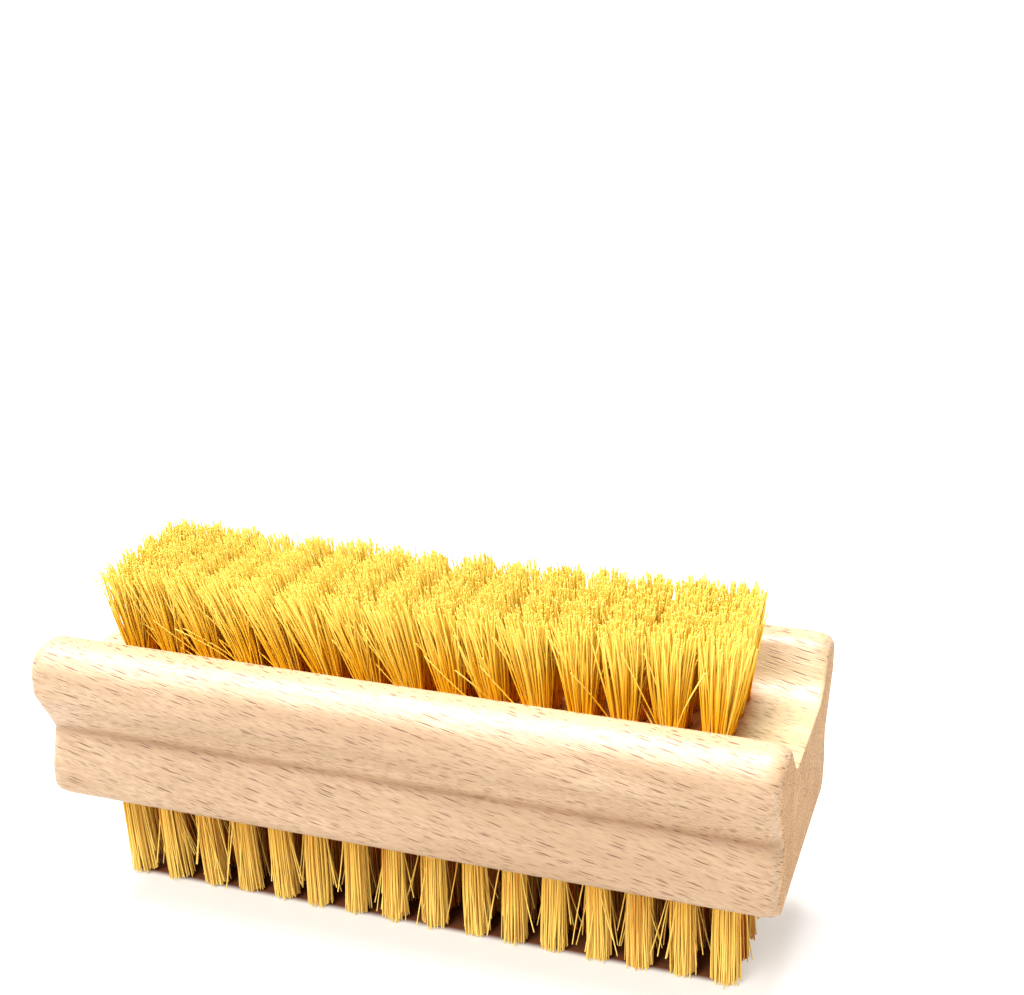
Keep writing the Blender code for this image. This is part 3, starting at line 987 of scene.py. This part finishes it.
def tuft_row(name, node, place, upside_down, values):
    row = grow(name, tufts, values)
    for spare in SPARE_ATTRIBUTES:
        if spare in row.data.attributes:
            row.data.attributes.remove(row.data.attributes[spare])
    turn = Matrix.Rotation(math.pi, 4, "X") if upside_down else Matrix.Identity(4)
    row.data.transform(Matrix.Translation([v * MM for v in place]) @ turn)
    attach(row, "root")
    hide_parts(node)
    return row


# %% Make the two fields
UPPER_FIELD = {
    "Material": upper_fibre,
    "Fibres": 150,
    "Thickness": 0.22 * MM,
}
UNDER_FIELD = {
    "Material": under_fibre,
    "Fibres": 160,
    "Thickness": 0.2 * MM,
    "Spread": 0.25 * MM,
    "Unevenness": 0.55 * MM,
    "Dome": 0.0,
    "Fan": 0.4 * MM,
    "Wander": 0.3 * MM,
    "Bow": 0.25 * MM,
    # The inner under tufts keep to the darkest tones and the outer ones skip them: painted shade among
    # the tufts
    "Painted inner shade": 0.62,
    "Outer from": 4.0,
    "Stray reach": 3.0 * MM,
}
# The end rows, seen from the ends, get less painted inner shade
END_ROWS = {"Painted inner shade": 0.2, "Stray reach": 1.2 * MM}
UNDER_SEEDS_FROM = 100


def field(word, columns, height, upside_down, lean, length, values):
    faces = 0
    for number, x in enumerate(columns, start=1):
        own = dict(values)
        own["Lean"] = between(lean, x) * MM
        own["Length"] = between(length, x) * MM
        own["Seed"] = number + (UNDER_SEEDS_FROM if upside_down else 0)
        if number in (1, len(columns)):
            own.update(END_ROWS)
        name = f"{word}_bristles_{number:02d}"
        node = f"{word}_tufts_{number:02d}"
        row = tuft_row(name, node, (x, 0, height), upside_down, own)
        faces += len(row.data.polygons)
    print(word, "field:", len(columns), "rows,", faces, "faces")


field("upper", UPPER_COLUMNS, DISH_FLOOR, False, UPPER_LEAN, UPPER_LENGTH, UPPER_FIELD)
field("under", UNDER_COLUMNS, UNDERSIDE, True, UNDER_LEAN, UNDER_LENGTH, UNDER_FIELD)

# %% [markdown]
# ## Floor and light
#
# The brush stands on a pale sheet in a bright, soft studio. A white sky lights everything
# evenly. A broad lamp in front shines down at about 45 degrees, and a stronger one almost
# overhead, a little to the left, burns out the tops of the lips and drops a soft shadow to the
# right. The sheet glows softly, as a table lit from below does. Straight under the tufts it
# doesn't glow and is dark brown, which stands in for the deep shade among them.

# %% Floor
FLOOR_REACH = 4.0
# The dark patch under the tufts in millimetres, and its soft edge from within to without
SHADE_MIDDLE, SHADE_HALF_LENGTH, SHADE_HALF_WIDTH = -1.25, 41.2, 8.5
SHADE_EDGE = (-1.0, 0.4)
NO_GLOW, PAPER_GLOW = (0.0, 0.0, 0.0, 1), (0.40, 0.382, 0.36, 1)
SHADE_BROWN, PAPER_PALE = (0.16, 0.055, 0.02, 1), (0.43, 0.42, 0.41, 1)
PAPER_ROUGHNESS = 0.8


def make_floor(size):
    mesh = bpy.data.meshes.new("floor")
    corners = [(-size, -size, 0), (size, -size, 0), (size, size, 0), (-size, size, 0)]
    mesh.from_pydata(corners, [], [(0, 1, 2, 3)])
    floor = bpy.data.objects.new("floor", mesh)
    bpy.context.scene.collection.objects.link(floor)
    material, tree, surface = new_material("floor_paper")
    along, across = parts_of(tree, place_in_mm(tree))[:2]
    from_middle = size_of(tree, plus(tree, along, -SHADE_MIDDLE))
    beyond_end = minus(tree, from_middle, SHADE_HALF_LENGTH)
    beyond_side = minus(tree, size_of(tree, across), SHADE_HALF_WIDTH)
    beyond = calc(tree, "MAXIMUM", beyond_end, beyond_side)
    lit = ranged(tree, beyond, *SHADE_EDGE, 0.0, 1.0, smooth=True)
    glow = mix_colour(tree, lit, NO_GLOW, PAPER_GLOW)
    tree.links.new(glow, surface.inputs["Emission Color"])
    paper = mix_colour(tree, lit, SHADE_BROWN, PAPER_PALE)
    tree.links.new(paper, surface.inputs["Base Color"])
    surface.inputs["Emission Strength"].default_value = 1.0
    surface.inputs["Roughness"].default_value = PAPER_ROUGHNESS
    mesh.materials.append(material)


make_floor(FLOOR_REACH)

# %% Light
SKY_STRENGTH = 0.5


def make_sky(strength):
    world = bpy.data.worlds.new("studio")
    world.use_nodes = True
    sky = world.node_tree.nodes["Background"]
    sky.inputs["Color"].default_value = (1.0, 1.0, 1.0, 1)
    sky.inputs["Strength"].default_value = strength
    bpy.context.scene.world = world


def make_sun(name, way, strength, softness):
    """A distant lamp. way points from the brush to the lamp, and softness is its width in degrees."""
    data = bpy.data.lights.new(name, "SUN")
    data.energy = strength
    data.angle = math.radians(softness)
    lamp = bpy.data.objects.new(name, data)
    lamp.rotation_euler = Vector(way).to_track_quat("Z", "Y").to_euler()
    bpy.context.scene.collection.objects.link(lamp)


make_sky(SKY_STRENGTH)
make_sun("key", way=(-0.40, -0.95, 1.0), strength=2.65, softness=30)
make_sun("crown", way=(-0.2, 0.1, 1.0), strength=6.8, softness=40)
bpy.context.scene.view_settings.view_transform = "Standard"
bpy.context.scene.view_settings.look = "Medium High Contrast"
